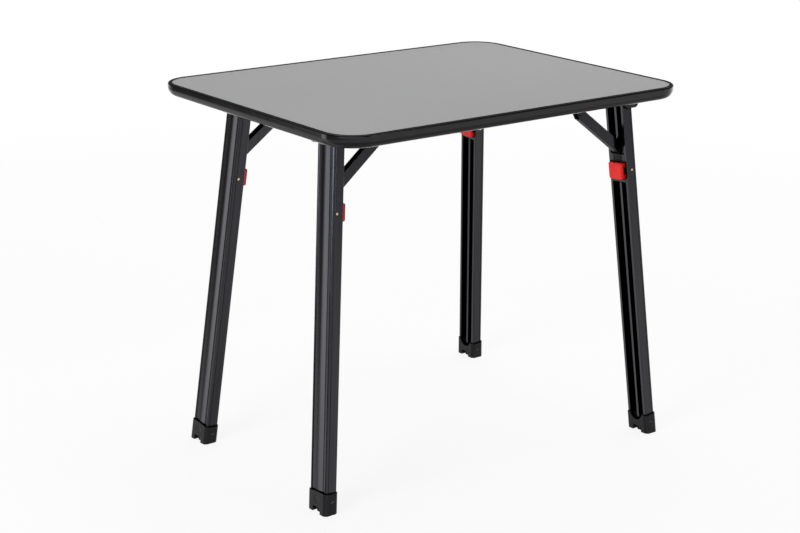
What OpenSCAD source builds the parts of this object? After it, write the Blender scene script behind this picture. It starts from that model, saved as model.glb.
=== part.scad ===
// Folding camper table. Four channel legs hang on hinges under the top, lean
// outwards and fold flat against it. A strut braces each leg: its upper end is
// pinned to the top and its lower end to a carriage that slides in the leg and
// locks there when the leg is open.
// The origin is the middle of the table on the floor, X is its length.

/* [Table] */
// Length over the edge rim
table_l = 800; // [700:10:1000]
// Width over the edge rim
table_w = 600; // [520:10:800]
// Height of the top face above the floor
table_h = 700; // [600:10:800]
// Radius of the rim's outer corners
corner_r = 62; // [50:1:90]
// Thickness of the top panel
panel_t = 14; // [11:1:18]

/* [Edge rim] */
// Height of the rim's profile
rim_h = 24; // [22:1:30]
// Width of the rim's profile
rim_w = 24; // [20:1:30]
// Radius of the rim's round lower edge
rim_round = 15; // [10:0.5:17]
// Radius of the rim's upper edge
rim_edge = 3; // [2:0.25:4]
// Thickness of the lip over the panel
rim_lip_t = 1; // [0.8:0.1:1.5]
// How far the lip reaches over the panel
rim_lip = 2; // [1:0.5:4]
// Depth of the panel's edge behind the rim's face
panel_inset = 6; // [5:0.5:8]
// Wall of the rim's profile
rim_wall = 2.4; // [2:0.2:3]

/* [Leg places] */
// From the table's left end to the left pair's hinges
left_end_gap = 86.2; // [80:0.1:110]
// From the table's right end to the right pair's hinges
right_end_gap = 93.2; // [80:0.1:110]
// From the table's sides to the left pair's hinges
left_side_gap = 154.8; // [150:0.1:160]
// From the table's sides to the right pair's hinges
right_side_gap = 87.4; // [84:0.1:92]
// Depth of the hinge axes below the top face
hinge_drop = 40; // [38:0.5:42]
// Lean of the legs along the table
lean_x = 5; // [2:0.1:7]
// Lean of the legs across the table
lean_y = 4.85; // [2:0.05:6]

/* [Leg section] */
// Width of the leg across the table
leg_w = 47.5; // [46:0.5:50]
// Depth of the leg from its back to its mouth
leg_d = 24; // [24:0.5:27]
// Thickness of the side walls
leg_wall = 2.8; // [2.4:0.1:3.2]
// Thickness of the back wall
back_wall = 3; // [2.8:0.1:3.4]
// Thickness of the lips at the mouth
lip_t = 3; // [2.6:0.1:3.2]
// Width of the mouth
mouth_w = 36; // [35.5:0.5:37]
// Radius of the round beads on the back corners
bead_r = 2.75; // [2:0.25:3]
// Width of the convex band on the back
crown_w = 27; // [24:0.5:30]
// Height of the convex band's middle
crown_h = 1; // [0.5:0.1:1.2]
// Depth of the grooves beside the convex band
groove_d = 1.6; // [1.2:0.1:1.6]
// Depth of the grooves beside the beads on the side walls
side_groove_d = 0.5; // [0.2:0.1:0.8]
// Radius of the grooves beside the beads on the side walls
side_groove_r = 1; // [0.8:0.1:1.5]
// Radius of the corners at the mouth
mouth_r = 1.2; // [0.5:0.1:2]
// Thickness of the middle rib
rib_t = 2.2; // [1.6:0.1:2.6]
// Width of the rib's head
rib_head_w = 5; // [4:0.25:5.5]
// Thickness of the rib's head
rib_head_t = 2; // [1.5:0.1:2.5]
// Depth of the rib's head behind the mouth
rib_inset = 3; // [2.5:0.1:3.2]
// Length of leg above the hinge
leg_above = 8.5; // [7:0.5:9]

/* [Hinges] */
// Diameter of the hinge pins
hinge_pin_d = 6; // [5:0.5:7]
// Thickness of the bracket's ears
ear_t = 5.6; // [4.5:0.1:7]
// Play between an ear and the leg
ear_play = 0.4; // [0.3:0.1:0.8]
// Thickness of the brackets' base plates
plate_t = 4; // [3:0.5:5]
// Length of the hinge bracket's plate in front of the pin
plate_front = 46; // [42:1:56]
// Width of the hinge bracket's plate
plate_w = 88; // [86:1:92]
// From the pin to the outside of the bracket's rear wall
rear_reach = 24; // [22:0.5:28]
// Thickness of the bracket's rear wall
rear_t = 3.5; // [3:0.5:5]
// Depth of the ears below the pin
ear_below = 6.5; // [6:0.5:9]
// Reach of the ears in front of the pin
ear_front = 13; // [12:0.5:16]
// Reach of the ears in front of the pin at the top
ear_front_top = 18; // [16:0.5:22]
// Radius of the ears' lower rear corner
ear_r = 10; // [8:0.5:12]
// Width of the pin's head beyond the pin
pin_head = 4; // [3:0.5:5]
// Thickness of the pin's head
pin_head_t = 1.6; // [1:0.1:2]
// Wall left outside the pin's blind end
pin_cover = 1.5; // [1:0.1:2]

/* [Strut] */
// From the hinge to the strut's upper pin
strut_reach = 107; // [102:0.5:110]
// From the hinge down the leg to the strut's lower pin
strut_joint = 89; // [85:0.5:93]
// Width of the strut
strut_w = 15.5; // [14.5:0.5:16]
// Thickness of the strut's side walls
strut_wall = 2; // [1.6:0.1:2.2]
// Thickness of the strut's web
strut_web = 1.8; // [1.5:0.1:2]
// From the pins' line to the strut's open edge
strut_open = 5.75; // [4.5:0.25:6.5]
// From the pins' line to the strut's closed side
strut_closed = 13.25; // [12.75:0.25:14]
// Radius of the strut's ends
strut_end_r = 7; // [6:0.25:7]
// Rounding of the strut's closed side
strut_round = 2; // [1:0.25:2.5]
// From the pins to where the strut has its full depth
strut_taper = 12; // [11:0.5:14]
// Thickness of the upper brackets' lugs
lug_t = 3; // [2.5:0.25:3.5]
// Radius of the lugs' round ends
lug_r = 8; // [7:0.25:8.5]
// Thickness of the stub pins' heads
stub_head_t = 0.8; // [0.6:0.1:1]
// Width of the stub pins' heads beyond the pins
stub_head = 2; // [1:0.25:3]
// Diameter of the upper stub pins
upper_pin_d = 6; // [5:0.5:6.5]
// Diameter of the lower pins
lower_pin_d = 5; // [4:0.5:6]

/* [Carriage] */
// Length of the carriage below the strut's pin
slider_l = 61; // [58:1:70]
// Length of the cheeks above the strut's pin
cheek_l = 9; // [7:0.5:11]
// Play between the carriage and the leg
slider_play = 0.4; // [0.3:0.1:0.6]
// Width of the button
button_w = 34; // [33:0.5:34.5]
// Length of the button along the leg
button_l = 32.5; // [31:0.5:34]
// Thickness of the button
button_t = 6.7; // [5.5:0.1:7.5]
// Radius of the button's corners
button_r = 4; // [3:0.5:6]
// Rounding of the button's face
button_edge = 1.75; // [0.5:0.25:2.25]
// Depth of the dish in the button's face
dish_d = 0.7; // [0.3:0.1:1]
// Radius of the dish in the button's face
dish_r = 13; // [11:0.5:13.5]
// Travel of the button
button_travel = 2.8; // [2:0.1:3]
// From the strut's pin to the middle of the button
button_at = 38; // [37:0.5:40]
// Diameter of the lock's pins
lock_pin_d = 4.75; // [4:0.25:5]
// Thickness of the lock's spring strip
clip_t = 1; // [0.8:0.1:1.2]
// Width of the lock's spring strip
clip_w = 8; // [6:0.5:9]

/* [Foot] */
// Width of the foot across the table
foot_w = 54.5; // [53.5:0.5:58]
// Depth of the foot
foot_d = 30; // [29:0.5:33]
// Height of the foot along the leg
foot_h = 36.8; // [34:0.2:42]
// Radius of the foot's upright corners
foot_r = 8; // [5:0.5:10]
// Height of the leg's end above the floor
foot_seat = 20; // [18:0.5:22]
// Width of the notch for the adjuster
notch_w = 22; // [20:0.5:24]
// Height of the notch for the adjuster
notch_h = 11; // [9.5:0.25:12]
// Diameter of the adjuster's wheel
wheel_d = 20.6; // [18:0.2:24]
// Thickness of the adjuster's wheel
wheel_t = 8; // [6:0.2:8.4]
// Radius of the round cut-out below the leg's mouth
cutout_r = 16; // [14:0.5:17]
// Depth of the round cut-out below the collar's edge
cutout_h = 11.5; // [9:0.5:13]
// Radius of the thumb recess on the outer face
thumb_r = 9; // [7:0.5:10]
// Depth of the thumb recess
thumb_d = 1; // [0.5:0.1:1.2]
// Rise of the collar's edge towards the middle of each wide face
collar_rise = 1.3; // [0:0.1:2]
// Diameter of the adjuster's stem
stem_d = 8; // [6:0.5:10]

/* [Screws] */
// Diameter of the screws' shanks
screw_d = 3.8; // [3.5:0.1:4]
// Diameter of the screws' heads
screw_head_d = 7; // [6:0.5:7.5]
// Height of the screws' heads
screw_head_h = 1.8; // [1.4:0.1:2]
// Depth of the screws in the panel
screw_bite = 9; // [7:0.5:10]

/* [Hidden] */
$fn = 64;

// Each corner is [-1 left or 1 right, -1 front or 1 back].
front_left = [-1, -1];
front_right = [1, -1];
back_left = [-1, 1];
back_right = [1, 1];
corners = [front_left, front_right, back_left, back_right];

// Radial clearances: a pin that turns, a pin that is pressed in, a loose hole.
turn_fit = 0.05;
press_fit = 0.02;
loose_fit = 0.3;
// Overshoot of cutting shapes.
eps = 1;

// Heights of the top.
panel_top = table_h - rim_lip_t;
panel_z = panel_top - panel_t;
hinge_z = table_h - hinge_drop;
plate_z = panel_z - plate_t;

// Leg section, seen along the leg: x runs from the mouth to the back.
half_d = leg_d / 2;
half_w = leg_w / 2;
channel_x = half_d - back_wall;
lip_x = half_d - lip_t;
channel_w = leg_w - 2 * leg_wall;
rib_x = half_d - rib_inset;

// The carriage and what runs in it.
stop_gap = 0.2;
slot_play = 0.5;
lock_stroke = 3.2;
runner_x = lip_x - slider_play;
runner_back = channel_x - slider_play;
runner_w = channel_w - 3 * slider_play;
boss_w = mouth_w - 2.5 * slider_play;
boss_x = half_d + stop_gap;
bridge_x = rib_x + slider_play;
slot_w = rib_head_w + 3 * slider_play;
boss_from = 6.5;
body_from = strut_end_r + 1;
cheek_in = strut_w / 2 + loose_fit;
cheek_pin_end = 14;
button_x = boss_x + button_travel + stop_gap;
tab_l = 8.5;
tab_t = 3.2;
tab_h = 5.5;
tab_end = 1;
tab_out = (button_w - slot_play) / 2;
tab_x = button_x - tab_h;
tab_gap = button_l - 2 * tab_l - 2 * tab_end;
pocket_x = tab_x - button_travel - slot_play;
clip_out = 11;
lock_x = 0.8;
window_l = button_l + 1;

// The strut: its length, and its rise from the lower to the upper pin.
strut_l = sqrt(pow(strut_reach, 2) + pow(strut_joint, 2) + 2 * strut_reach * strut_joint * sin(lean_x));
strut_rise = atan2(strut_joint * cos(lean_x), strut_reach + strut_joint * sin(lean_x));
lug_in = strut_w / 2 + loose_fit;
lug_plate_w = 34;
plate_r = 5;
lug_plate_back = 38;
lug_plate_front = 8;

// The foot and where the leg's middle line meets the floor.
floor_run = hinge_z / (cos(lean_x) * cos(lean_y));
leg_l = floor_run - foot_seat;
collar_s = floor_run - foot_h;
collar_arc = (pow(foot_w / 2, 2) + pow(collar_rise, 2)) / (2 * collar_rise);
thumb_gap = 3;
thumb_ball = (pow(thumb_r, 2) + pow(thumb_d, 2)) / (2 * thumb_d);
dish_ball = (pow(dish_r, 2) + pow(dish_d, 2)) / (2 * dish_d);
thumb_s = floor_run - notch_h - thumb_r - thumb_gap;
foot_fit = 0.15;
prong_x = 3.5;
prong_fit = 0.3;
prong_drop = 2;
foot_screw_down = 6;
prong_l = foot_h - foot_seat - prong_drop;
foot_screw_y = 12.5;
foot_screw_s = leg_l - prong_l + foot_screw_down;
foot_screw_d = 3.5;
foot_screw_head = 6.5;
foot_screw_bite = 1.5;
hole_end = 0.1;
recess_d = wheel_d + 3;
stem_gap = 2;
wheel_z = 0.8;

// Places of the screws on the two kinds of bracket, from the bracket's pin.
screw_edge = 7;
screw_rear = 10;
hinge_screws = [
    for (x = [screw_edge - plate_front, screw_rear], y = [-1, 1]) [x, y * (plate_w / 2 - screw_edge)]
];
strut_screws = [for (y = [-1, 1]) [-lug_plate_back + screw_edge, y * (lug_plate_w / 2 - screw_edge)]];

function hinge_x(c) = table_l / 2 - (c.x < 0 ? left_end_gap : right_end_gap);
function hinge_y(c) = table_w / 2 - (c.x < 0 ? left_side_gap : right_side_gap);
// The two ends of a length that lies half on each side of a middle.
function around(middle, half) = [middle - half, middle + half];
// Point where the line from p touches a circle of radius r about the origin.
function tangent(p, r) =
    let (a = atan2(p.y, p.x) + acos(r / norm(p))) [r * cos(a), r * sin(a)];

module rounded_rect(size, r) {
    square([size.x - 2 * r, size.y], center = true);
    square([size.x, size.y - 2 * r], center = true);
    for (x = [-1, 1], y = [-1, 1]) {
        translate([x * (size.x / 2 - r), y * (size.y / 2 - r)])
            circle(r);
    }
}

// Plate with round corners and a round upper edge.
module soft_plate(size, r, edge) {
    linear_extrude(size.z - edge)
        rounded_rect([size.x, size.y], r);
    linear_extrude(size.z)
        rounded_rect([size.x - 2 * edge, size.y - 2 * edge], r - edge);
    translate([0, 0, size.z - edge]) {
        for (x = [-1, 1]) {
            translate([x * (size.x / 2 - edge), 0, 0])
                rotate([90, 0, 0])
                    cylinder(h = size.y - 2 * r, r = edge, center = true);
            translate([0, x * (size.y / 2 - edge), 0])
                rotate([0, 90, 0])
                    cylinder(h = size.x - 2 * r, r = edge, center = true);
        }
        for (x = [-1, 1], y = [-1, 1]) {
            translate([x * (size.x / 2 - r), y * (size.y / 2 - r), 0])
                rotate_extrude()
                    translate([r - edge, 0])
                        intersection() {
                            circle(edge);
                            translate([0, -edge])
                                square(2 * edge);
                        }
        }
    }
}

// Cylinder along Y between two distances from the middle, on both sides.
module side_pins(from, to, d) {
    for (side = [-1, 1]) {
        translate([0, side * (from + to) / 2, 0])
            rotate([90, 0, 0])
                cylinder(h = to - from, d = d, center = true);
    }
}

// Frame of a corner: upright, with X and Y pointing outwards from the middle.
module at_corner(c) {
    translate([c.x * hinge_x(c), c.y * hinge_y(c), 0])
        mirror([c.x < 0 ? 1 : 0, 0, 0])
            mirror([0, c.y < 0 ? 1 : 0, 0])
                children();
}

// Frame of a hinge: the hinge axis is Y.
module at_hinge(c) {
    at_corner(c)
        translate([0, 0, hinge_z])
            rotate([lean_y, 0, 0])
                children();
}

// Frame of a leg: the hinge axis is Y and the leg hangs down -Z.
module at_leg(c) {
    at_hinge(c)
        rotate([0, -lean_x, 0])
            children();
}

// Frame of a carriage: the leg's frame at the strut's lower pin.
module at_slider(c) {
    at_leg(c)
        translate([0, 0, -strut_joint])
            children();
}

// Frame of a strut: from its lower pin, Z points to its upper pin.
module at_strut(c) {
    at_hinge(c)
        translate([strut_joint * sin(lean_x), 0, -strut_joint * cos(lean_x)])
            rotate([0, strut_rise - 90, 0])
                children();
}

// Frame of a foot: upright, where the leg's middle line meets the floor.
module at_floor(c) {
    at_corner(c)
        translate([hinge_z * tan(lean_x) / cos(lean_y), hinge_z * tan(lean_y), 0])
            children();
}

// Everything between the floor and the underside of the panel.
module under_panel() {
    translate([-table_l, -table_w, 0])
        cube([2 * table_l, 2 * table_w, panel_z]);
}

module screw_places(z) {
    for (c = corners) {
        at_corner(c)
            for (p = hinge_screws) {
                translate([p.x, p.y, z])
                    children();
            }
        at_corner(c)
            for (p = strut_screws) {
                translate([p.x - strut_reach, p.y, z])
                    children();
            }
    }
}

module tabletop_panel() {
    color([0.66, 0.66, 0.65])
        difference() {
            translate([0, 0, panel_z])
                linear_extrude(panel_t)
                    rounded_rect([table_l - 2 * panel_inset, table_w - 2 * panel_inset],
                        corner_r - panel_inset);
            screw_places(panel_z - eps)
                cylinder(h = screw_bite + eps, d = screw_d + 2 * press_fit);
        }
}

// Section of the rim: x is 0 at its outer face, y is 0 at its bottom.
module rim_section() {
    slot_y = panel_z - (table_h - rim_h);
    round_y = rim_round;
    difference() {
        union() {
            translate([-rim_w, 0])
                square([rim_w - rim_round, rim_h]);
            translate([-rim_round, round_y])
                square([rim_round, rim_h - rim_edge - round_y]);
            translate([-rim_round, rim_h - rim_edge])
                square([rim_round - rim_edge, rim_edge]);
            translate([-rim_round, round_y])
                intersection() {
                    circle(rim_round);
                    translate([0, -rim_round])
                        square(rim_round);
                }
            translate([-rim_edge, rim_h - rim_edge])
                circle(rim_edge);
        }
        // Seat of the panel, and the space above the panel inside the lip.
        translate([-rim_w - eps, slot_y])
            square([rim_w + eps - panel_inset, panel_t]);
        translate([-rim_w - eps, slot_y])
            square([rim_w + eps - panel_inset - rim_lip, rim_h]);
        // Hollow behind the round edge, open towards the middle of the table.
        intersection() {
            translate([-rim_w - eps, rim_wall])
                square([rim_w + eps - panel_inset, slot_y - 2 * rim_wall]);
            union() {
                translate([-rim_w - eps, 0])
                    square([rim_w + eps - rim_round, rim_h]);
                translate([-rim_round, round_y])
                    circle(rim_round - rim_wall);
            }
        }
    }
}

module edge_rim() {
    straight = [table_l - 2 * corner_r, table_w - 2 * corner_r];
    color([0.12, 0.12, 0.13])
        translate([0, 0, table_h - rim_h]) {
            for (side = [0, 1]) {
                rotate([0, 0, 180 * side])
                    translate([table_l / 2, straight.y / 2, 0])
                        rotate([90, 0, 0])
                            linear_extrude(straight.y)
                                rim_section();
                rotate([0, 0, 180 * side])
                    translate([-straight.x / 2, table_w / 2, 0])
                        rotate([90, 0, 90])
                            linear_extrude(straight.x)
                                rim_section();
            }
            for (c = corners) {
                translate([c.x * straight.x / 2, c.y * straight.y / 2, 0])
                    rotate([0, 0, atan2(c.y, c.x) - 45])
                        rotate_extrude(angle = 90)
                            translate([corner_r, 0])
                                rim_section();
            }
        }
}

module bracket_screws() {
    color("silver")
        screw_places(plate_z) {
            cylinder(h = plate_t + screw_bite, d = screw_d);
            translate([0, 0, -screw_head_h])
                cylinder(h = screw_head_h, d = screw_head_d);
        }
}

// Outline of the leg's section without its channel.
module leg_outline() {
    crown_r = (pow(crown_w / 2, 2) + pow(crown_h, 2)) / (2 * crown_h);
    translate([mouth_r - half_d, -half_w])
        square([leg_d - mouth_r - bead_r, leg_w]);
    translate([-half_d, mouth_r - half_w])
        square([mouth_r, leg_w - 2 * mouth_r]);
    translate([0, bead_r - half_w])
        square([half_d - groove_d, leg_w - 2 * bead_r]);
    for (side = [-1, 1]) {
        translate([mouth_r - half_d, side * (half_w - mouth_r)])
            circle(mouth_r);
        translate([half_d - bead_r, side * (half_w - bead_r)])
            circle(bead_r);
    }
    intersection() {
        translate([half_d - crown_r, 0])
            circle(crown_r, $fn = 200);
        translate([0, -crown_w / 2])
            square([leg_d, crown_w]);
    }
}

module leg_section() {
    difference() {
        leg_outline();
        translate([-lip_x, -channel_w / 2])
            square([lip_x + channel_x, channel_w]);
        translate([-leg_d, -mouth_w / 2])
            square([leg_d, mouth_w]);
        for (side = [-1, 1]) {
            translate([
                half_d - 2 * bead_r - side_groove_r / 2,
                side * (half_w + side_groove_r - side_groove_d)
            ])
                circle(side_groove_r);
        }
    }
    translate([-rib_x, -rib_t / 2])
        square([rib_x + channel_x + back_wall / 2, rib_t]);
    translate([-rib_x, -rib_head_w / 2])
        square([rib_head_t, rib_head_w]);
}

module leg(c) {
    lock_s = strut_joint + button_at;
    color([0.36, 0.36, 0.38])
        at_leg(c)
            difference() {
                translate([0, 0, -leg_l])
                    linear_extrude(leg_l + leg_above)
                        leg_section();
                rotate([90, 0, 0])
                    cylinder(h = leg_w + 2 * eps, d = hinge_pin_d + 2 * turn_fit, center = true);
                translate([lock_x, 0, -lock_s])
                    rotate([90, 0, 0]) {
                        translate([0, 0, channel_w / 2 - eps])
                            cylinder(h = leg_w, d = lock_pin_d + 2 * loose_fit);
                        translate([0, 0, -channel_w / 2 + eps - leg_w])
                            cylinder(h = leg_w, d = lock_pin_d + 2 * loose_fit);
                    }
                // The lips are milled away round the button, between the side walls.
                for (side = [-1, 1]) {
                    translate([-half_d, side * (channel_w + slot_w) / 4, -lock_s])
                        cube([2 * lip_t + eps, (channel_w - slot_w) / 2, window_l], center = true);
                }
                translate([channel_x - eps, -c.x * c.y * foot_screw_y, -foot_screw_s])
                    rotate([0, 90, 0])
                        cylinder(h = eps + foot_screw_bite + hole_end, d = foot_screw_d + 2 * press_fit);
            }
}

// Side view of an ear, from the pin: x outwards, y up.
module ear_side() {
    polygon([
        [-ear_front_top, hinge_drop], [-ear_front, 0], [-hinge_pin_d / 2, -ear_below],
        [rear_reach - ear_r, -ear_below], [rear_reach, ear_r - ear_below], [rear_reach, hinge_drop]
    ]);
    translate([rear_reach - ear_r, ear_r - ear_below])
        circle(ear_r);
}

module hinge_bracket(c) {
    color([0.1, 0.1, 0.11]) {
        difference() {
            at_corner(c)
                translate([(rear_reach - plate_front) / 2, 0, plate_z])
                    linear_extrude(plate_t)
                        rounded_rect([rear_reach + plate_front, plate_w], plate_r);
            screw_places(plate_z - eps)
                cylinder(h = plate_t + 2 * eps, d = screw_d + 2 * loose_fit);
        }
        difference() {
            intersection() {
                at_hinge(c) {
                    for (side = [-1, 1]) {
                        translate([0, side * (half_w + ear_play + ear_t / 2), 0])
                            rotate([90, 0, 0])
                                linear_extrude(ear_t, center = true)
                                    ear_side();
                    }
                    rotate([90, 0, 0])
                        linear_extrude(leg_w + 2 * ear_play + ear_t, center = true)
                            intersection() {
                                ear_side();
                                translate([rear_reach - rear_t, -hinge_drop])
                                    square([rear_t, 2 * hinge_drop]);
                            }
                }
                under_panel();
            }
            // The pin's bore stops short of the outer ear's face.
            at_hinge(c)
                translate([0, half_w + ear_play + ear_t - pin_cover, 0])
                    rotate([90, 0, 0])
                        cylinder(h = 2 * leg_w, d = hinge_pin_d + 2 * press_fit);
        }
    }
}

module hinge_pin(c) {
    outer = half_w + ear_play + ear_t;
    color("silver")
        at_hinge(c)
            rotate([90, 0, 0]) {
                translate([0, 0, pin_cover - outer])
                    cylinder(h = 2 * outer - pin_cover, d = hinge_pin_d);
                translate([0, 0, outer])
                    cylinder(h = pin_head_t, d = hinge_pin_d + pin_head);
            }
}

// Side view of a strut bracket's lug, from the pin: x outwards, y up.
// The pin's seat is a hook, open towards the leg's hinge.
module lug_side() {
    seat_r = upper_pin_d / 2 + turn_fit;
    mouth = seat_r + loose_fit;
    reach = 60;
    rear_slope = 12;
    open_up = 52;
    open_down = 22;
    difference() {
        union() {
            circle(lug_r);
            polygon([
                [-lug_r, 0], [lug_plate_front, 0],
                [lug_plate_front, hinge_drop], [-lug_r - rear_slope, hinge_drop]
            ]);
        }
        circle(seat_r);
        polygon([
            [0, 0], mouth * [-sin(open_up), cos(open_up)],
            mouth * [-sin(open_up), cos(open_up)] + reach * [cos(open_up), sin(open_up)],
            mouth * [-sin(open_down), -cos(open_down)] + reach * [cos(open_down), -sin(open_down)],
            mouth * [-sin(open_down), -cos(open_down)]
        ]);
    }
}

module strut_bracket(c) {
    color([0.1, 0.1, 0.11]) {
        difference() {
            at_corner(c)
                translate([(lug_plate_front - lug_plate_back) / 2 - strut_reach, 0, plate_z])
                    linear_extrude(plate_t)
                        rounded_rect([lug_plate_front + lug_plate_back, lug_plate_w], plate_r);
            screw_places(plate_z - eps)
                cylinder(h = plate_t + 2 * eps, d = screw_d + 2 * loose_fit);
        }
        intersection() {
            at_hinge(c)
                translate([-strut_reach, 0, 0])
                    for (side = [-1, 1]) {
                        translate([0, side * (lug_in + lug_t / 2), 0])
                            rotate([90, 0, 0])
                                linear_extrude(lug_t, center = true)
                                    lug_side();
                    }
            under_panel();
        }
    }
}

// Side view of the strut's wall at one end, from the pin: y along the strut.
module strut_end() {
    corner = [-strut_closed, strut_taper];
    circle(strut_end_r);
    polygon([
        [0, 0], tangent(corner, strut_end_r), corner, [strut_open, strut_taper], [strut_open, 0]
    ]);
}

module strut(c) {
    color([0.4, 0.4, 0.42])
        at_strut(c)
            difference() {
                union() {
                    translate([0, 0, strut_taper])
                        linear_extrude(strut_l - 2 * strut_taper) {
                            translate([strut_round - strut_closed, -strut_w / 2])
                                square([strut_closed + strut_open - strut_round, strut_w]);
                            translate([-strut_closed, strut_round - strut_w / 2])
                                square([strut_round, strut_w - 2 * strut_round]);
                            for (side = [-1, 1]) {
                                translate([strut_round - strut_closed, side * (strut_w / 2 - strut_round)])
                                    circle(strut_round);
                            }
                        }
                    for (side = [-1, 1]) {
                        translate([0, side * (strut_w - strut_wall) / 2, 0])
                            rotate([90, 0, 0])
                                linear_extrude(strut_wall, center = true) {
                                    strut_end();
                                    translate([0, strut_l])
                                        mirror([0, 1])
                                            strut_end();
                                }
                    }
                }
                translate([strut_web - strut_closed, strut_wall - strut_w / 2, -strut_l])
                    cube([2 * strut_closed, strut_w - 2 * strut_wall, 3 * strut_l]);
                rotate([90, 0, 0])
                    cylinder(h = 2 * strut_w, d = lower_pin_d + 2 * turn_fit, center = true);
                translate([0, 0, strut_l])
                    rotate([90, 0, 0])
                        cylinder(h = 2 * strut_w, d = upper_pin_d + 2 * press_fit, center = true);
            }
}

module strut_pins(c) {
    inner = strut_w / 2 - strut_wall;
    color("silver")
        at_strut(c)
            translate([0, 0, strut_l]) {
                side_pins(inner, lug_in + lug_t, upper_pin_d);
                side_pins(inner - stub_head_t, inner, upper_pin_d + stub_head);
            }
}

// Box in the carriage's frame: x from the mouth side, s down the leg.
module slider_box(x, y, s) {
    for (side = [-1, 1]) {
        translate([-x[1], side > 0 ? y[0] : -y[1], -s[1]])
            cube([x[1] - x[0], y[1] - y[0], s[1] - s[0]]);
    }
}

module slider(c) {
    ridge_r = 1.1;
    ridge_arc = 60;
    ridge_w = 22;
    ridges = 3;
    ridge_pitch = (button_at - button_l / 2 - boss_from - slot_play) / ridges;
    inner = slot_w / 2;
    color([0.09, 0.09, 0.1])
        at_slider(c)
            difference() {
                union() {
                    slider_box([-runner_back, runner_x], [inner, runner_w / 2], [body_from, slider_l]);
                    slider_box([runner_x - eps, boss_x], [inner, boss_w / 2], [body_from, slider_l]);
                    slider_box([bridge_x, boss_x], [0, boss_w / 2], [boss_from, slider_l]);
                    slider_box([-runner_back, runner_x], [cheek_in, runner_w / 2], [-cheek_l, body_from]);
                    for (i = [0:ridges - 1]) {
                        intersection() {
                            translate([-boss_x, 0, ridge_arc - boss_from - (i + 0.5) * ridge_pitch])
                                rotate([90, 0, 90])
                                    rotate_extrude()
                                        translate([ridge_arc, 0])
                                            circle(ridge_r, $fn = 24);
                            translate([-2 * boss_x, -ridge_w / 2, -slider_l])
                                cube([2 * boss_x, ridge_w, slider_l]);
                        }
                    }
                }
                // Pockets for the button's tabs.
                for (end = [-1, 1]) {
                    slider_box([pocket_x, 2 * boss_x], [tab_out - tab_t - loose_fit, boss_w / 2 + loose_fit],
                        around(button_at + end * (tab_gap + tab_l) / 2, tab_l / 2 + slot_play));
                }
                // Recess for the lock's bridge and slots for its arms.
                slider_box([boss_x - clip_t, 2 * boss_x], [0, clip_out + loose_fit],
                    around(button_at, clip_w / 2 + slot_play));
                slider_box([-lock_pin_d / 2 - lock_x - slot_play, 2 * boss_x],
                    [clip_out - clip_t - lock_stroke, clip_out + loose_fit],
                    around(button_at, clip_w / 2 + slot_play));
                translate([lock_x, 0, -button_at])
                    side_pins(clip_out - eps, leg_w, lock_pin_d + 2 * loose_fit);
                side_pins(strut_w / 2 - eps, cheek_pin_end, lower_pin_d + 2 * press_fit);
            }
}

module slider_pins(c) {
    color("silver")
        at_slider(c)
            side_pins(strut_w / 2 - strut_wall, cheek_pin_end, lower_pin_d);
}

module button(c) {
    color([0.86, 0.12, 0.1])
        at_slider(c) {
            translate([-button_x, 0, -button_at])
                rotate([0, -90, 0])
                    difference() {
                        soft_plate([button_l, button_w, button_t], button_r, button_edge);
                        translate([0, 0, button_t + dish_ball - dish_d])
                            sphere(dish_ball, $fn = 128);
                    }
            for (end = [-1, 1]) {
                slider_box([tab_x, button_x + eps], [tab_out - tab_t, tab_out],
                    around(button_at + end * (tab_gap + tab_l) / 2, tab_l / 2));
            }
        }
}

// Bent spring strip under the button, with a pin on each arm.
module lock_clip(c) {
    color([0.72, 0.53, 0.22])
        at_slider(c) {
            slider_box([button_x - clip_t, button_x], [0, clip_out], around(button_at, clip_w / 2));
            slider_box([-lock_x - lock_pin_d / 2, button_x], [clip_out - clip_t, clip_out],
                around(button_at, clip_w / 2));
            translate([lock_x, 0, -button_at])
                side_pins(clip_out - clip_t / 2, half_w - stop_gap, lock_pin_d);
        }
}

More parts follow.
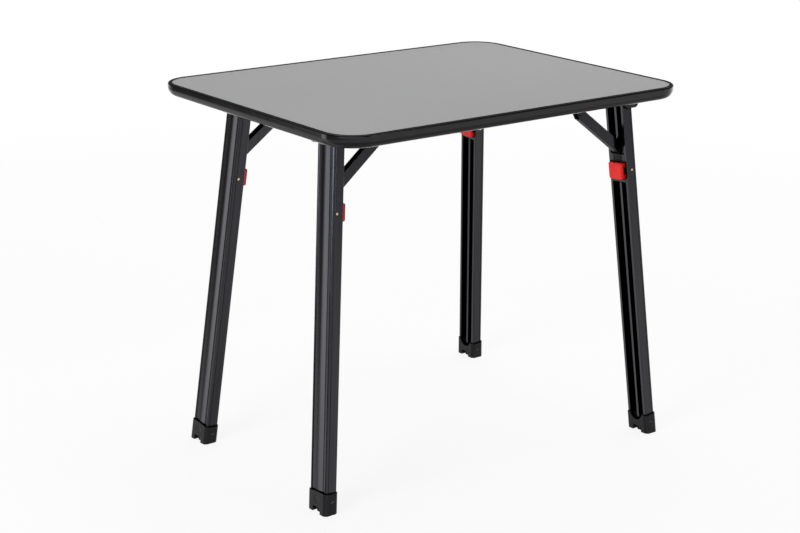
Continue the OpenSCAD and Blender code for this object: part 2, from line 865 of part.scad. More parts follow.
module foot(c) {
    color([0.11, 0.11, 0.12])
        difference() {
            intersection() {
                at_leg(c)
                    translate([0, 0, -floor_run - foot_h])
                        linear_extrude(2 * foot_h + collar_rise)
                            rounded_rect([foot_d, foot_w], foot_r);
                under_panel();
            }
            at_leg(c) {
                difference() {
                    translate([0, 0, -leg_l])
                        linear_extrude(2 * foot_h)
                            rounded_rect([leg_d + 2 * foot_fit, leg_w + 2 * foot_fit], mouth_r);
                    // Prongs that fill the two halves of the leg's channel.
                    for (side = [-1, 1]) {
                        translate([-prong_x, side > 0 ? rib_head_w / 2 + prong_fit : -channel_w / 2 + prong_fit, -leg_l])
                            cube([
                                prong_x + channel_x - foot_fit,
                                (channel_w - rib_head_w) / 2 - 2 * prong_fit,
                                prong_l
                            ]);
                    }
                }
                // Round cut-out in the inner wall, below the leg's mouth.
                translate([-foot_d / 2 - eps, 0, cutout_r - cutout_h - collar_s])
                    rotate([0, 90, 0])
                        cylinder(h = foot_d / 2 - half_d + 2 * eps, r = cutout_r);
                // The collar's edge falls away from the middle in a wide arc.
                difference() {
                    translate([-foot_d, -foot_w, -collar_s - collar_rise])
                        cube([2 * foot_d, 2 * foot_w, foot_h]);
                    translate([-foot_d, 0, collar_rise - collar_arc - collar_s])
                        rotate([0, 90, 0])
                            cylinder(h = 2 * foot_d, r = collar_arc, $fn = 200);
                }
                translate([foot_d / 2 + thumb_ball - thumb_d, 0, -thumb_s])
                    sphere(thumb_ball);
                translate([0, -c.x * c.y * foot_screw_y, -foot_screw_s])
                    rotate([0, 90, 0])
                        cylinder(h = leg_d, d = foot_screw_d + 2 * press_fit, center = true);
            }
            at_floor(c) {
                translate([-foot_d, -notch_w / 2, -eps])
                    cube([2 * foot_d, notch_w, notch_h + eps]);
                translate([0, 0, -eps])
                    cylinder(h = wheel_z + wheel_t + eps, d = recess_d);
                cylinder(h = foot_seat - stem_gap, d = stem_d + 2 * turn_fit);
            }
        }
}

module foot_screw(c) {
    color("silver")
        at_leg(c)
            translate([-prong_x, -c.x * c.y * foot_screw_y, -foot_screw_s])
                rotate([0, 90, 0]) {
                    cylinder(h = prong_x + channel_x + foot_screw_bite, d = foot_screw_d);
                    translate([0, 0, -screw_head_h])
                        cylinder(h = screw_head_h, d = foot_screw_head);
                }
}

module foot_adjuster(c) {
    grips = 12;
    grip_r = 1.4;
    grip_out = 0.6;
    color([0.08, 0.08, 0.09])
        at_floor(c) {
            translate([0, 0, wheel_z])
                difference() {
                    cylinder(h = wheel_t, d = wheel_d);
                    for (i = [0:grips - 1]) {
                        rotate([0, 0, i * 360 / grips])
                            translate([wheel_d / 2 + grip_out, 0, -eps])
                                cylinder(h = wheel_t + 2 * eps, r = grip_r, $fn = 24);
                    }
                }
            translate([0, 0, wheel_z])
                cylinder(h = foot_seat - 2 * stem_gap - wheel_z, d = stem_d);
        }
}

tabletop_panel();
edge_rim();
bracket_screws();
leg(front_left);  // leg_front_left
leg(front_right);  // leg_front_right
leg(back_left);  // leg_back_left
leg(back_right);  // leg_back_right
hinge_bracket(front_left);  // hinge_bracket_front_left
hinge_bracket(front_right);  // hinge_bracket_front_right
hinge_bracket(back_left);  // hinge_bracket_back_left
hinge_bracket(back_right);  // hinge_bracket_back_right
hinge_pin(front_left);  // hinge_pin_front_left
hinge_pin(front_right);  // hinge_pin_front_right
hinge_pin(back_left);  // hinge_pin_back_left
hinge_pin(back_right);  // hinge_pin_back_right
strut_bracket(front_left);  // strut_bracket_front_left
strut_bracket(front_right);  // strut_bracket_front_right
strut_bracket(back_left);  // strut_bracket_back_left
strut_bracket(back_right);  // strut_bracket_back_right
strut(front_left);  // strut_front_left
strut(front_right);  // strut_front_right
strut(back_left);  // strut_back_left
strut(back_right);  // strut_back_right
strut_pins(front_left);  // strut_pins_front_left
strut_pins(front_right);  // strut_pins_front_right
strut_pins(back_left);  // strut_pins_back_left
strut_pins(back_right);  // strut_pins_back_right
slider(front_left);  // slider_front_left
slider(front_right);  // slider_front_right
slider(back_left);  // slider_back_left
slider(back_right);  // slider_back_right
slider_pins(front_left);  // slider_pins_front_left
slider_pins(front_right);  // slider_pins_front_right
slider_pins(back_left);  // slider_pins_back_left
slider_pins(back_right);  // slider_pins_back_right
button(front_left);  // button_front_left
button(front_right);  // button_front_right
button(back_left);  // button_back_left
button(back_right);  // button_back_right
lock_clip(front_left);  // lock_clip_front_left
lock_clip(front_right);  // lock_clip_front_right
lock_clip(back_left);  // lock_clip_back_left
lock_clip(back_right);  // lock_clip_back_right
foot(front_left);  // foot_front_left
foot(front_right);  // foot_front_right
foot(back_left);  // foot_back_left
foot(back_right);  // foot_back_right
foot_screw(front_left);  // foot_screw_front_left
foot_screw(front_right);  // foot_screw_front_right
foot_screw(back_left);  // foot_screw_back_left
foot_screw(back_right);  // foot_screw_back_right
foot_adjuster(front_left);  // foot_adjuster_front_left
foot_adjuster(front_right);  // foot_adjuster_front_right
foot_adjuster(back_left);  // foot_adjuster_back_left
foot_adjuster(back_right);  // foot_adjuster_back_right
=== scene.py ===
import math

import bpy
from mathutils import Matrix, Vector


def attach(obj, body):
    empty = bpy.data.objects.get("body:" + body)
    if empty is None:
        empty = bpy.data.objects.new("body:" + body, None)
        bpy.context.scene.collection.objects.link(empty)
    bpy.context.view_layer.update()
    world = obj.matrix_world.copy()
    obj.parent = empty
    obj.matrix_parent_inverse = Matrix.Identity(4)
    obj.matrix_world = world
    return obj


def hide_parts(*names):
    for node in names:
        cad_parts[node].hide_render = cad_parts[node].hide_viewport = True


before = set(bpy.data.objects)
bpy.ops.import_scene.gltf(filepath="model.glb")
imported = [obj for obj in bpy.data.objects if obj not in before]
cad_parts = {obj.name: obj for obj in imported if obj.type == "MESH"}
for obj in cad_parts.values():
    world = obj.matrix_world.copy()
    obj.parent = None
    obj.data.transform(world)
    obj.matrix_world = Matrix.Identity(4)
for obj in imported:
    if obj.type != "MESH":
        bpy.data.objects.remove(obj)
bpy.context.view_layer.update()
print("frame loaded:", len(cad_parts), "nodes")

corners = {
    "front_left": (-1, -1),
    "front_right": (1, -1),
    "back_left": (-1, 1),
    "back_right": (1, 1),
}

# The CAD legs' hinges and leans, in metres and degrees.
legPlaces = {
    "hingeX": {-1: 0.3138, 1: 0.3068},
    "hingeY": {-1: 0.1452, 1: 0.2126},
    "hingeZ": 0.660,
    "leanX": 5.0,
    "leanY": 4.85,
}


def toLinear(hexColour):
    channels = [int(hexColour[i:i + 2], 16) / 255 for i in (1, 3, 5)]
    linear = [c / 12.92 if c <= 0.04045 else ((c + 0.055) / 1.055) ** 2.4 for c in channels]
    return (*linear, 1.0)


def addNode(tree, kind, links=None, **settings):
    made = tree.nodes.new(kind)
    for name, value in settings.items():
        setattr(made, name, value)
    for name, value in (links or {}).items():
        socket = made.inputs[name]
        if isinstance(value, bpy.types.NodeSocket):
            tree.links.new(value, socket)
        else:
            socket.default_value = value
    return made


def startMaterial(name):
    material = bpy.data.materials.new(name)
    material.use_nodes = True
    tree = material.node_tree
    tree.nodes.clear()
    place = addNode(tree, "ShaderNodeTexCoord").outputs["Object"]
    return material, tree, place


def finishMaterial(tree, shader):
    addNode(tree, "ShaderNodeOutputMaterial", {"Surface": shader.outputs["BSDF"]})


def perMetre(millimetres):
    return 1000 / millimetres


def twoTone(tree, factor, dark, light, low=0.35, high=0.65):
    ramp = addNode(tree, "ShaderNodeValToRGB", {"Fac": factor})
    ramp.color_ramp.elements[0].position = low
    ramp.color_ramp.elements[0].color = toLinear(dark)
    ramp.color_ramp.elements[1].position = high
    ramp.color_ramp.elements[1].color = toLinear(light)
    return ramp.outputs["Color"]


def spread(tree, factor, low, high):
    mapped = addNode(tree, "ShaderNodeMapRange", {"Value": factor, "To Min": low, "To Max": high})
    return mapped.outputs["Result"]


def addNoise(tree, place, patternMm, detail):
    return addNode(tree, "ShaderNodeTexNoise", {
        "Vector": place,
        "Scale": perMetre(patternMm),
        "Detail": detail,
    }).outputs["Fac"]


def roundedEdges(tree, edgeMm):
    return addNode(tree, "ShaderNodeBevel", {"Radius": edgeMm / 1000}, samples=4).outputs["Normal"]


# Painted shade for grooves and corners: the colour and gloss that closed-in places run to, in place of the
# shade that falls there.
paintedGrooveShade = {
    "colour": "#050505",
    "gloss": 0.02,
}


# Runs from the first level in grooves and corners to the second on open faces.
# Only what stands within grooveMm counts.
def byOpenness(tree, settings, levels=(0, 1)):
    reach = settings["grooveMm"] / 1000
    openness = addNode(tree, "ShaderNodeAmbientOcclusion", {"Distance": reach}, samples=8)
    return addNode(tree, "ShaderNodeMapRange", {
        "Value": openness.outputs["AO"],
        "From Min": settings["grooveShade"][0],
        "From Max": settings["grooveShade"][1],
        "To Min": levels[0],
        "To Max": levels[1],
    }).outputs["Result"]


# Paints shade into grooves and corners by running the colour to near black where the surface is closed in.
def paintShadeInGrooves(tree, colour, settings):
    return addNode(tree, "ShaderNodeMix", {
        0: byOpenness(tree, settings),
        6: toLinear(paintedGrooveShade["colour"]),
        7: colour,
    }, data_type="RGBA").outputs[2]


laminate = {
    "grainMm": 2.6,  # the real grain is finer than a pixel, so it is drawn this coarse
    "cloudMm": 260,
    "dark": "#a3a3a2",
    "light": "#aeaead",
    "roughness": (0.42, 0.5),
    "bump": 0.05,
    "bumpMm": 0.2,
}


# Melamine laminate with a pressed grain: an even grey that breaks up slightly up close.
def makeLaminate():
    material, tree, place = startMaterial("melamineLaminate")
    grain = addNode(tree, "ShaderNodeTexNoise", {
        "Vector": place,
        "Scale": perMetre(laminate["grainMm"]),
        "Detail": 3.0,
        "Roughness": 0.6,
    }).outputs["Fac"]
    cloud = addNoise(tree, place, laminate["cloudMm"], 1.0)
    bump = addNode(tree, "ShaderNodeBump", {
        "Height": grain,
        "Strength": laminate["bump"],
        "Distance": laminate["bumpMm"] / 1000,
    })
    shader = addNode(tree, "ShaderNodeBsdfPrincipled", {
        "Base Color": twoTone(tree, grain, laminate["dark"], laminate["light"]),
        "Roughness": spread(tree, cloud, *laminate["roughness"]),
        "Normal": bump.outputs["Normal"],
        "IOR": 1.5,
    })
    finishMaterial(tree, shader)
    return material


# ABS, extruded and bent round the corners: near black with a clear gloss.
rimPlastic = {
    "grainMm": 1.4,
    "dark": "#0c0c0e",
    "light": "#121214",
    "roughness": (0.11, 0.15),
    "bump": 0.06,
    "edgeMm": 0.3,
    "gloss": 0.38,
}


moulding = {
    "waveMm": 45,
    "bumpMm": 0.2,
}


# Any of the plastics: its colour drifts in wide waves, and a fine skin breaks up its gloss.
def makePlastic(name, settings):
    material, tree, place = startMaterial(name)
    grain = addNoise(tree, place, settings["grainMm"], 2.0)
    waves = addNoise(tree, place, moulding["waveMm"], 1.0)
    colour = twoTone(tree, waves, settings["dark"], settings["light"])
    gloss = settings["gloss"]
    # Where grooveMm is given, shade is painted into the grooves and the gloss there is taken down.
    if "grooveMm" in settings:
        colour = paintShadeInGrooves(tree, colour, settings)
        gloss = byOpenness(tree, settings, (paintedGrooveShade["gloss"], gloss))
    bump = addNode(tree, "ShaderNodeBump", {
        "Height": grain,
        "Strength": settings["bump"],
        "Distance": moulding["bumpMm"] / 1000,
        "Normal": roundedEdges(tree, settings["edgeMm"]),
    })
    shader = addNode(tree, "ShaderNodeBsdfPrincipled", {
        "Base Color": colour,
        "Roughness": spread(tree, waves, *settings["roughness"]),
        "Normal": bump.outputs["Normal"],
        "IOR": 1.5,
        "Specular IOR Level": gloss,
    })
    finishMaterial(tree, shader)
    return material


# Glass-filled nylon of the feet: black, dull and finely textured.
footPlastic = {
    "grainMm": 0.9,
    "dark": "#101012",
    "light": "#151517",
    "roughness": (0.42, 0.52),
    "bump": 0.2,
    "edgeMm": 0.6,
    "gloss": 0.27,
}

# Glass-filled nylon of the brackets: as dull as the feet, a little lighter.
bracketPlastic = {
    "grainMm": 0.9,
    "dark": "#121214",
    "light": "#18181a",
    "roughness": (0.42, 0.52),
    "bump": 0.2,
    "edgeMm": 0.5,
    "gloss": 0.5,
}

# Acetal of the carriages and adjusters: smooth and black, with shade painted between the ridges.
carriagePlastic = {
    "grainMm": 1.1,
    "dark": "#101012",
    "light": "#161618",
    "roughness": (0.3, 0.4),
    "bump": 0.08,
    "edgeMm": 0.3,
    "gloss": 0.55,
    "grooveMm": 4,
    "grooveShade": (0.85, 1.0),
}

# ABS of the buttons: signal red, with a soft gloss along the rounded edges.
buttonPlastic = {
    "grainMm": 1.2,
    "dark": "#f2160e",
    "light": "#fa1d13",
    "roughness": (0.3, 0.38),
    "bump": 0.08,
    "edgeMm": 0.8,
    "gloss": 0.36,
}

anodised = {
    "streakMm": 1.6,
    "lengthMm": 180,
    "dark": "#3b3b3e",
    "light": "#434346",
    "roughness": (0.13, 0.18),
    "bump": 0.03,
    "bumpMm": 0.1,
    "edgeMm": 0.12,
    "grooveMm": 4,
    "grooveShade": (0.72, 0.98),
}


# Extruded aluminium, anodised near black: it mirrors the room softly, with faint lines along each leg, and
# shade painted into its grooves and corners.
def makeAnodised(name, turnX, turnY):
    material, tree, place = startMaterial(name)
    along = addNode(tree, "ShaderNodeMapping", {
        "Vector": place,
        "Rotation": (math.radians(turnX), math.radians(turnY), 0),
    }).outputs["Vector"]
    narrow = perMetre(anodised["streakMm"])
    scaled = addNode(tree, "ShaderNodeMapping", {
        "Vector": along,
        "Scale": (narrow, narrow, perMetre(anodised["lengthMm"])),
    }).outputs["Vector"]
    streaks = addNode(tree, "ShaderNodeTexNoise", {"Vector": scaled, "Scale": 1.0, "Detail": 2.0})
    streaks = streaks.outputs["Fac"]
    colour = twoTone(tree, streaks, anodised["dark"], anodised["light"])
    bump = addNode(tree, "ShaderNodeBump", {
        "Height": streaks,
        "Strength": anodised["bump"],
        "Distance": anodised["bumpMm"] / 1000,
        "Normal": roundedEdges(tree, anodised["edgeMm"]),
    })
    shader = addNode(tree, "ShaderNodeBsdfPrincipled", {
        # The base colour carries painted shade in the grooves.
        "Base Color": paintShadeInGrooves(tree, colour, anodised),
        "Metallic": 1.0,
        "Roughness": spread(tree, streaks, *anodised["roughness"]),
        "Normal": bump.outputs["Normal"],
    })
    finishMaterial(tree, shader)
    return material


# Zinc-plated steel of the screws and pins: pale and bright, with a faint spangle.
zincSteel = {
    "spangleMm": 3.0,
    "dark": "#b4b6b8",
    "light": "#c9cbcd",
    "roughness": (0.24, 0.36),
    "edgeMm": 0.2,
}

# Phosphor bronze of the lock clips: the pins' ends show as pale gold dots.
bronze = {
    "spangleMm": 4.0,
    "dark": "#ffdca0",
    "light": "#ffe4b0",
    "roughness": (0.3, 0.4),
    "edgeMm": 0.7,  # the pins' ends are slightly domed
}

# Nylon of the ribs on the feet, painted a lighter grey as a highlight on the rib, so the rib reads as a
# light dash.
ribHighlightPlastic = {
    "grainMm": 0.8,
    "dark": "#5c5c5e",
    "light": "#6a6a6c",
    "roughness": (0.45, 0.55),
    "bump": 0.1,
    "edgeMm": 0.2,
    "gloss": 0.5,
}


# Plated or rolled metal: bright, with a soft cloud in its gloss.
def makeMetal(name, settings):
    material, tree, place = startMaterial(name)
    cloud = addNoise(tree, place, settings["spangleMm"], 2.0)
    shader = addNode(tree, "ShaderNodeBsdfPrincipled", {
        "Base Color": twoTone(tree, cloud, settings["dark"], settings["light"]),
        "Metallic": 1.0,
        "Roughness": spread(tree, cloud, *settings["roughness"]),
        "Normal": roundedEdges(tree, settings["edgeMm"]),
    })
    finishMaterial(tree, shader)
    return material


def dress(node, material):
    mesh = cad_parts[node].data
    mesh.materials.clear()
    mesh.materials.append(material)


laminateGrey = makeLaminate()
rimBlack = makePlastic("extrudedAbs", rimPlastic)
footBlack = makePlastic("mouldedNylonFoot", footPlastic)
bracketBlack = makePlastic("mouldedNylonBracket", bracketPlastic)
carriageBlack = makePlastic("mouldedAcetal", carriagePlastic)
buttonRed = makePlastic("mouldedAbsRed", buttonPlastic)
platedSteel = makeMetal("zincPlatedSteel", zincSteel)
springBronze = makeMetal("phosphorBronze", bronze)
# The foot ribs get a lighter grey painted on as their highlight.
footRibHighlight = makePlastic("nylonRibPaintedHighlight", ribHighlightPlastic)

dress("tabletop_panel", laminateGrey)
dress("edge_rim", rimBlack)
dress("bracket_screws", platedSteel)
for corner, (sideX, sideY) in corners.items():
    turnX = -sideY * legPlaces["leanY"]
    turnY = sideX * legPlaces["leanX"]
    legMetal = makeAnodised("anodisedAluminium_" + corner, turnX, turnY)
    dress("leg_" + corner, legMetal)
    dress("strut_" + corner, legMetal)
    dress("hinge_bracket_" + corner, bracketBlack)
    dress("strut_bracket_" + corner, bracketBlack)
    dress("hinge_pin_" + corner, platedSteel)
    dress("strut_pins_" + corner, platedSteel)
    dress("slider_" + corner, carriageBlack)
    dress("slider_pins_" + corner, platedSteel)
    dress("button_" + corner, buttonRed)
    dress("lock_clip_" + corner, springBronze)
    dress("foot_" + corner, footBlack)
    dress("foot_screw_" + corner, platedSteel)
    dress("foot_adjuster_" + corner, carriageBlack)
print("materials set")


def readyForEdit():
    if bpy.context.object and bpy.context.object.mode != "OBJECT":
        bpy.ops.object.mode_set(mode="OBJECT")
    bpy.ops.object.select_all(action="DESELECT")


def placedCopy(template, matrix):
    copy = template.copy()
    copy.data = template.data.copy()
    copy.data.transform(matrix)
    bpy.context.collection.objects.link(copy)
    return copy


def joinPieces(pieces, name, material):
    readyForEdit()
    for piece in pieces:
        piece.select_set(True)
    bpy.context.view_layer.objects.active = pieces[0]
    bpy.ops.object.join()
    joined = bpy.context.object
    joined.name = name
    joined.data.materials.clear()
    joined.data.materials.append(material)
    return joined


# The frame of a leg: X outwards, Z up the leg, from its hinge.
def legMatrix(corner):
    sideX, sideY = corners[corner]
    hingeX = sideX * legPlaces["hingeX"][sideX]
    hingeY = sideY * legPlaces["hingeY"][sideX]
    hinge = Vector((hingeX, hingeY, legPlaces["hingeZ"]))
    leanX = math.radians(legPlaces["leanX"])
    leanY = math.radians(legPlaces["leanY"])
    sinX, cosX = math.sin(leanX), math.cos(leanX)
    sinY, cosY = math.sin(leanY), math.cos(leanY)
    down = Vector((sideX * sinX, sideY * cosX * sinY, -cosX * cosY))
    outward = Vector((sideX * cosX, -sideY * sinX * sinY, sinX * cosY))
    across = outward.cross(down)
    return Matrix.Translation(hinge) @ Matrix((outward, across, -down)).transposed().to_4x4()


smoothAngle = math.radians(35)

panHead = {
    "sides": 32,
    "rounding": 0.7,  # of the head's height
    "roundingSteps": 5,
    "roundingShape": 0.55,
    "touching": 1e-5,
}

bracketScrew = {
    "headR": 0.0035,
    "headH": 0.0018,
    "shankR": 0.0019,
    "shankL": 0.013,
    "recessL": 0.0042,
    "recessW": 0.0009,
    "recessD": 0.0011,
    "seatZ": 0.681,
    "turnStep": 40,
    # Steps from the hinge, outwards and to the side, of the hinge bracket's and the strut bracket's screws.
    "steps": [
        (-0.039, 0.037),
        (-0.039, -0.037),
        (0.010, 0.037),
        (0.010, -0.037),
        (-0.138, 0.010),
        (-0.138, -0.010),
    ],
}

footScrew = {
    "headR": 0.00325,
    "headH": 0.0018,
    "shankR": 0.00175,
    "shankL": 0.014,
    "recessL": 0.004,
    "recessW": 0.0009,
    "recessD": 0.0011,
    "firstTurn": 25,
    "turnStep": 50,
    "place": (-0.0035, -0.0125, -0.6361),
}


# A square-ended bar sunk into the head, once each way, leaves the cross.
def cutRecess(screw, settings, turn):
    readyForEdit()
    bpy.ops.mesh.primitive_cube_add(size=1, location=(0, 0, settings["headH"]), rotation=(0, 0, turn))
    cutter = bpy.context.object
    cutter.scale = (settings["recessL"], settings["recessW"], 2 * settings["recessD"])
    bpy.ops.object.transform_apply(location=True, rotation=True, scale=True)
    readyForEdit()
    screw.select_set(True)
    bpy.context.view_layer.objects.active = screw
    cut = screw.modifiers.new("recess", "BOOLEAN")
    cut.object = cutter
    cut.operation = "DIFFERENCE"
    cut.solver = "EXACT"
    bpy.ops.object.modifier_apply(modifier=cut.name)
    bpy.data.objects.remove(cutter)


# One pan-head screw, its seat at the origin and its head upwards, with a cross recess.
def makeScrew(settings):
    readyForEdit()
    bpy.ops.mesh.primitive_cylinder_add(
        vertices=panHead["sides"],
        radius=settings["headR"],
        depth=settings["headH"],
        location=(0, 0, settings["headH"] / 2),
    )
    screw = bpy.context.object
    bpy.ops.object.transform_apply(location=True, rotation=True, scale=True)
    top = settings["headH"] - panHead["touching"]
    for vertex in screw.data.vertices:
        vertex.select = vertex.co.z > top
    for edge in screw.data.edges:
        edge.select = all(screw.data.vertices[i].co.z > top for i in edge.vertices)
    for face in screw.data.polygons:
        face.select = all(screw.data.vertices[i].co.z > top for i in face.vertices)
    bpy.ops.object.mode_set(mode="EDIT")
    bpy.ops.mesh.select_mode(type="FACE")
    bpy.ops.mesh.bevel(
        offset=panHead["rounding"] * settings["headH"],
        segments=panHead["roundingSteps"],
        profile=panHead["roundingShape"],
        affect="EDGES",
    )
    bpy.ops.object.mode_set(mode="OBJECT")
    for face in screw.data.polygons:
        face.select = face.center.z < panHead["touching"] and face.normal.z < -0.9
    bpy.ops.object.mode_set(mode="EDIT")
    bpy.ops.mesh.select_mode(type="FACE")
    bpy.ops.mesh.inset(thickness=settings["headR"] - settings["shankR"])
    bpy.ops.mesh.extrude_region_move(TRANSFORM_OT_translate={"value": (0, 0, -settings["shankL"])})
    bpy.ops.object.mode_set(mode="OBJECT")
    for turn in (0, math.pi / 2):
        cutRecess(screw, settings, turn)
    readyForEdit()
    screw.select_set(True)
    bpy.ops.object.shade_smooth_by_angle(angle=smoothAngle)
    return screw


# The 24 screws hang head down under the brackets, each turned a little further than the last.
def makeBracketScrews():
    template = makeScrew(bracketScrew)
    copies = []
    for sideX, sideY in corners.values():
        for outward, across in bracketScrew["steps"]:
            place = Vector((
                sideX * (legPlaces["hingeX"][sideX] + outward),
                sideY * (legPlaces["hingeY"][sideX] + across),
                bracketScrew["seatZ"],
            ))
            turn = Matrix.Rotation(math.radians(bracketScrew["turnStep"] * len(copies)), 4, "Z")
            headDown = Matrix.Rotation(math.pi, 4, "X")
            copies.append(placedCopy(template, Matrix.Translation(place) @ turn @ headDown))
    bpy.data.objects.remove(template)
    screws = joinPieces(copies, "crossHeadScrews", platedSteel)
    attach(screws, "top")
    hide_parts("bracket_screws")


def makeFootScrews():
    template = makeScrew(footScrew)
    towardsMouth = Matrix.Rotation(-math.pi / 2, 4, "Y")
    for turn, corner in enumerate(corners):
        place = legMatrix(corner) @ Matrix.Translation(footScrew["place"]) @ towardsMouth
        degrees = footScrew["firstTurn"] + footScrew["turnStep"] * turn
        screw = placedCopy(template, place @ Matrix.Rotation(math.radians(degrees), 4, "Z"))
        screw = joinPieces([screw], "footScrew_" + corner, platedSteel)
        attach(screw, "leg_" + corner)
        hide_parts("foot_screw_" + corner)
    bpy.data.objects.remove(template)


footRib = {
    "length": 0.0065,
    "width": 0.0012,
    "height": 0.0008,
    "standsOut": 0.0003,
    "rounding": 0.0002,
    "roundingSteps": 3,
    "tilt": 21.5,
    "place": (-0.0012, 0.02725, -0.6431),
}


# The short slanted rib on both side faces of a foot, partly sunk in the face.
def makeFootRibs():
    readyForEdit()
    bpy.ops.mesh.primitive_cube_add(size=1, location=(0, 0, 0))
    template = bpy.context.object
    template.scale = (footRib["length"], footRib["height"], footRib["width"])
    bpy.ops.object.transform_apply(location=True, rotation=True, scale=True)
    bpy.ops.object.mode_set(mode="EDIT")
    bpy.ops.mesh.select_all(action="SELECT")
    bpy.ops.mesh.bevel(offset=footRib["rounding"], segments=footRib["roundingSteps"], affect="EDGES")
    bpy.ops.object.mode_set(mode="OBJECT")
    bpy.ops.object.shade_smooth_by_angle(angle=smoothAngle)
    x, y, z = footRib["place"]
    reach = y + footRib["standsOut"] - footRib["height"] / 2
    tilt = Matrix.Rotation(math.radians(footRib["tilt"]), 4, "Y")
    for corner in corners:
        pair = []
        for side in (-1, 1):
            place = legMatrix(corner) @ Matrix.Translation((x, side * reach, z))
            pair.append(placedCopy(template, place @ tilt))
        # The ribs take the grey painted on as their highlight.
        ribs = joinPieces(pair, "footRibs_" + corner, footRibHighlight)
        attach(ribs, "leg_" + corner)
    bpy.data.objects.remove(template)


makeBracketScrews()
makeFootScrews()
makeFootRibs()
print("screws and ribs modelled")


studio = {
    "floorSize": 40,
    "floorColour": "#f4f4f4",
    # The share of plain white in what the camera sees of the floor, near the table and from further off.
    "whiteNear": 0.88,
    "whiteFar": 1.0,
    "nearM": 0.9,
    "farM": 3.0,
    "skyColour": "#8c8f94",
    "skyStrength": 0.55,
}


def maths(tree, operation, *values):
    return addNode(tree, "ShaderNodeMath", dict(enumerate(values)), operation=operation).outputs["Value"]


# The floor shows white to the camera and keeps a faint shadow.
# In gloss the room's lower half stands for it.
def makeFloor():
    readyForEdit()
    bpy.ops.mesh.primitive_plane_add(size=studio["floorSize"], location=(0, 0, 0))
    floor = bpy.context.object
    floor.name = "studioFloor"
    material = bpy.data.materials.new("paintedFloor")
    material.use_nodes = True
    tree = material.node_tree
    tree.nodes.clear()
    matt = addNode(tree, "ShaderNodeBsdfDiffuse", {"Color": toLinear(studio["floorColour"])})
    place = addNode(tree, "ShaderNodeNewGeometry").outputs["Position"]
    away = addNode(tree, "ShaderNodeVectorMath", {0: place}, operation="LENGTH").outputs["Value"]
    white = addNode(tree, "ShaderNodeMapRange", {
        "Value": away,
        "From Min": studio["nearM"],
        "From Max": studio["farM"],
        "To Min": studio["whiteNear"],
        "To Max": studio["whiteFar"],
    })
    glow = addNode(tree, "ShaderNodeEmission", {"Color": (1, 1, 1, 1), "Strength": 1.0})
    path = addNode(tree, "ShaderNodeLightPath")
    share = maths(tree, "MULTIPLY", path.outputs["Is Camera Ray"], white.outputs["Result"])
    mix = addNode(tree, "ShaderNodeMixShader", {
        0: share,
        1: matt.outputs["BSDF"],
        2: glow.outputs["Emission"],
    })
    addNode(tree, "ShaderNodeOutputMaterial", {"Surface": mix.outputs["Shader"]})
    floor.data.materials.append(material)
    floor.visible_glossy = False


# How far the direction points to a side, as a cosine.
def towards(tree, direction, side):
    turned = addNode(tree, "ShaderNodeVectorMath", {0: direction, 1: side}, operation="DOT_PRODUCT")
    return turned.outputs["Value"]


def rampLight(tree, value, ends, levels=(0, 1)):
    return addNode(tree, "ShaderNodeMapRange", {
        "Value": value,
        "From Min": ends[0],
        "From Max": ends[1],
        "To Min": levels[0],
        "To Max": levels[1],
    }, interpolation_type="SMOOTHSTEP").outputs["Result"]


# What the glossy surfaces mirror. Sides are unit vectors, heights are sines of the angle above the horizon.
# The floor is bright close by and darkens towards the horizon, sooner at the back left.
mirroredFloor = {
    "darkSide": (-0.64, 0.77, 0),
    "darkLift": 0.12,
    "heights": (-0.31, -0.06),
    "levels": (0.88, 0.08),
    "underHeights": (-0.7, -0.33),
    "underLevels": (0.4, 1.0),
}


def floorLight(tree, flat, height):
    sideways = towards(tree, flat, mirroredFloor["darkSide"])
    lifted = maths(tree, "MULTIPLY_ADD", sideways, mirroredFloor["darkLift"], height)
    level = rampLight(tree, lifted, mirroredFloor["heights"], mirroredFloor["levels"])
    under = rampLight(tree, height, mirroredFloor["underHeights"], mirroredFloor["underLevels"])
    return maths(tree, "MULTIPLY", level, under)


# A tall card at the back left draws the line of light down the legs' backs.
mirroredCard = {
    "side": (-0.731, 0.682, 0),
    "edge": (0.975, 0.9985),
    "heights": (-0.38, -0.2),
    "levels": (0.6, 2.5),
    "top": (0.0, 0.2),
}


def cardLight(tree, flat, height):
    width = rampLight(tree, towards(tree, flat, mirroredCard["side"]), mirroredCard["edge"])
    level = rampLight(tree, height, mirroredCard["heights"], mirroredCard["levels"])
    top = rampLight(tree, height, mirroredCard["top"], (1, 0))
    return maths(tree, "MULTIPLY", maths(tree, "MULTIPLY", width, level), top)


# A bowed strip overhead lights the panel a little, and the upper edge of the rim.
mirroredStrip = {
    "across": (0.616, 0.788, 0),
    "along": (0.788, -0.616, 0),
    "middle": 0.42,
    "bow": 2.0,
    "width": (0.12, 0.36),
    "level": 3.0,
    "heights": (0.3, 0.5),
    "start": (-0.34, -0.22),
    "fade": (0.04, 0.24),
    "rest": 0.25,
}


def stripLight(tree, direction, height):
    along = towards(tree, direction, mirroredStrip["along"])
    across = towards(tree, direction, mirroredStrip["across"])
    square = maths(tree, "MULTIPLY", along, along)
    bowed = maths(tree, "MULTIPLY_ADD", square, mirroredStrip["bow"], mirroredStrip["middle"])
    off = maths(tree, "ABSOLUTE", maths(tree, "SUBTRACT", across, bowed))
    level = rampLight(tree, off, mirroredStrip["width"], (mirroredStrip["level"], 0))
    level = maths(tree, "MULTIPLY", level, rampLight(tree, height, mirroredStrip["heights"]))
    start = rampLight(tree, along, mirroredStrip["start"])
    fade = rampLight(tree, along, mirroredStrip["fade"], (1, mirroredStrip["rest"]))
    return maths(tree, "MULTIPLY", level, maths(tree, "MULTIPLY", start, fade))


# A wide low light at the far side shows the legs from the other sides.
# The photographed side hardly mirrors it.
mirroredBack = {
    "side": (0.616, 0.788, 0),
    "edge": (0.35, 0.85),
    "heights": (-0.5, -0.3),
    "level": 0.9,
    "top": (-0.04, 0.1),
}


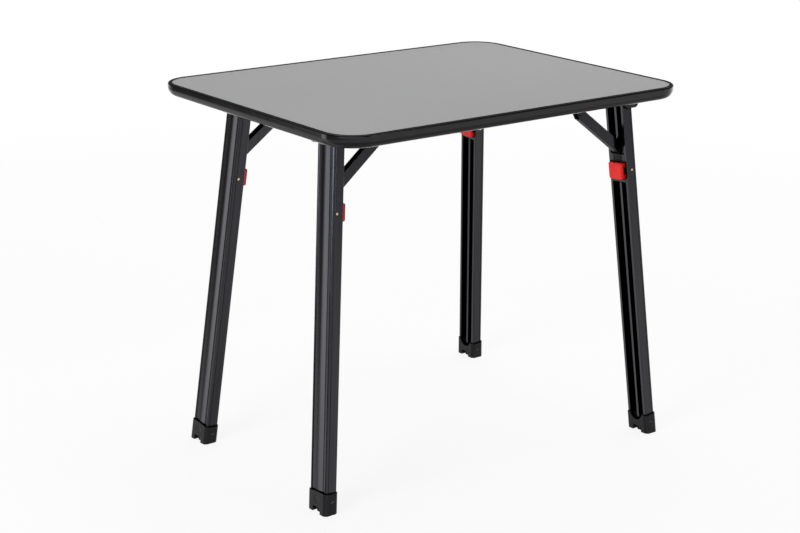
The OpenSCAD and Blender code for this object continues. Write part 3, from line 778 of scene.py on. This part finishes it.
def backLight(tree, flat, height):
    width = rampLight(tree, towards(tree, flat, mirroredBack["side"]), mirroredBack["edge"])
    level = rampLight(tree, height, mirroredBack["heights"], (0, mirroredBack["level"]))
    top = rampLight(tree, height, mirroredBack["top"], (1, 0))
    return maths(tree, "MULTIPLY", maths(tree, "MULTIPLY", width, level), top)


# A low window behind the camera draws the cool line on the upper beads.
mirroredWindow = {
    "side": (-0.62, -0.785, 0),
    "edge": (0.7, 0.82),
    "middle": 0.01,
    "halfHeight": (0.015, 0.06),
    "level": 10.0,
    "colour": "#dde5ff",
}


def windowLight(tree, flat, height):
    width = rampLight(tree, towards(tree, flat, mirroredWindow["side"]), mirroredWindow["edge"])
    off = maths(tree, "ABSOLUTE", maths(tree, "SUBTRACT", height, mirroredWindow["middle"]))
    level = rampLight(tree, off, mirroredWindow["halfHeight"], (mirroredWindow["level"], 0))
    return maths(tree, "MULTIPLY", width, level)


def glossLight(tree, direction):
    height = addNode(tree, "ShaderNodeSeparateXYZ", {"Vector": direction}).outputs["Z"]
    level = addNode(tree, "ShaderNodeVectorMath", {0: direction, 1: (1, 1, 0)}, operation="MULTIPLY")
    flat = addNode(tree, "ShaderNodeVectorMath", {0: level.outputs["Vector"]}, operation="NORMALIZE")
    flat = flat.outputs["Vector"]
    white = maths(tree, "ADD", floorLight(tree, flat, height), cardLight(tree, flat, height))
    white = maths(tree, "ADD", white, stripLight(tree, direction, height))
    white = maths(tree, "ADD", white, backLight(tree, flat, height))
    plain = addNode(tree, "ShaderNodeBackground", {"Color": (1, 1, 1, 1), "Strength": white})
    cool = addNode(tree, "ShaderNodeBackground", {
        "Color": toLinear(mirroredWindow["colour"]),
        "Strength": windowLight(tree, flat, height),
    })
    both = addNode(tree, "ShaderNodeAddShader", {
        0: plain.outputs["Background"],
        1: cool.outputs["Background"],
    })
    return both.outputs["Shader"]


# The room is white to the camera and dim to matt surfaces; glossy ones mirror what glossLight makes.
def makeSky():
    world = bpy.data.worlds.new("studioSky")
    bpy.context.scene.world = world
    world.use_nodes = True
    tree = world.node_tree
    tree.nodes.clear()
    direction = addNode(tree, "ShaderNodeTexCoord").outputs["Generated"]
    path = addNode(tree, "ShaderNodeLightPath")
    dim = addNode(tree, "ShaderNodeBackground", {
        "Color": toLinear(studio["skyColour"]),
        "Strength": studio["skyStrength"],
    })
    white = addNode(tree, "ShaderNodeBackground", {"Color": (1, 1, 1, 1), "Strength": 1.0})
    mix = addNode(tree, "ShaderNodeMixShader", {
        0: path.outputs["Is Glossy Ray"], 1: dim.outputs["Background"], 2: glossLight(tree, direction),
    })
    mix = addNode(tree, "ShaderNodeMixShader", {
        0: path.outputs["Is Camera Ray"], 1: mix.outputs["Shader"], 2: white.outputs["Background"],
    })
    addNode(tree, "ShaderNodeOutputWorld", {"Surface": mix.outputs["Shader"]})


# Each lamp: place, aim, side length, power, and whether gloss shows it.
lamps = {
    "overhead": {"place": (1.2, 0.7, 2.8), "aim": (0, 0, 0.6), "size": 3.2, "power": 68, "inGloss": False},
    "leftBox": {"place": (-3.0, -0.7, 1.5), "aim": (0, 0, 0.5), "size": 1.6, "power": 72, "inGloss": False},
    "rightBox": {"place": (1.6, -3.4, 1.9), "aim": (0, 0, 0.5), "size": 1.0, "power": 14, "inGloss": True},
}


def makeLamps():
    for name, settings in lamps.items():
        data = bpy.data.lights.new(name, "AREA")
        data.size = settings["size"]
        data.energy = settings["power"]
        lamp = bpy.data.objects.new(name, data)
        bpy.context.collection.objects.link(lamp)
        lamp.location = settings["place"]
        aim = Vector(settings["aim"]) - lamp.location
        lamp.rotation_euler = aim.to_track_quat("-Z", "Y").to_euler()
        lamp.visible_camera = False
        lamp.visible_glossy = settings["inGloss"]


# The photograph's view: place in metres, angles in radians.
view = {
    "place": (-2.01679, -2.52064, 1.33688),
    "heading": 0.663333,
    "dip": 0.300323,
    "roll": 0.013213,
    "lensMm": 78.396,
    "sensorMm": 36,
    "farM": 100,
}


def makeCamera():
    data = bpy.data.cameras.new("photoView")
    data.sensor_fit = "HORIZONTAL"
    data.sensor_width = view["sensorMm"]
    data.lens = view["lensMm"]
    data.clip_end = view["farM"]
    camera = bpy.data.objects.new("photoView", data)
    bpy.context.collection.objects.link(camera)
    forward = Vector((
        math.sin(view["heading"]) * math.cos(view["dip"]),
        math.cos(view["heading"]) * math.cos(view["dip"]),
        -math.sin(view["dip"]),
    ))
    right = forward.cross(Vector((0, 0, 1))).normalized()
    up = right.cross(forward)
    turnedRight = math.cos(view["roll"]) * right + math.sin(view["roll"]) * up
    turnedUp = -math.sin(view["roll"]) * right + math.cos(view["roll"]) * up
    turn = Matrix((turnedRight, turnedUp, -forward)).transposed().to_4x4()
    camera.matrix_world = Matrix.Translation(view["place"]) @ turn
    bpy.context.scene.camera = camera


makeFloor()
makeSky()
makeLamps()
makeCamera()
bpy.context.scene.view_settings.view_transform = "Standard"
print("studio set")
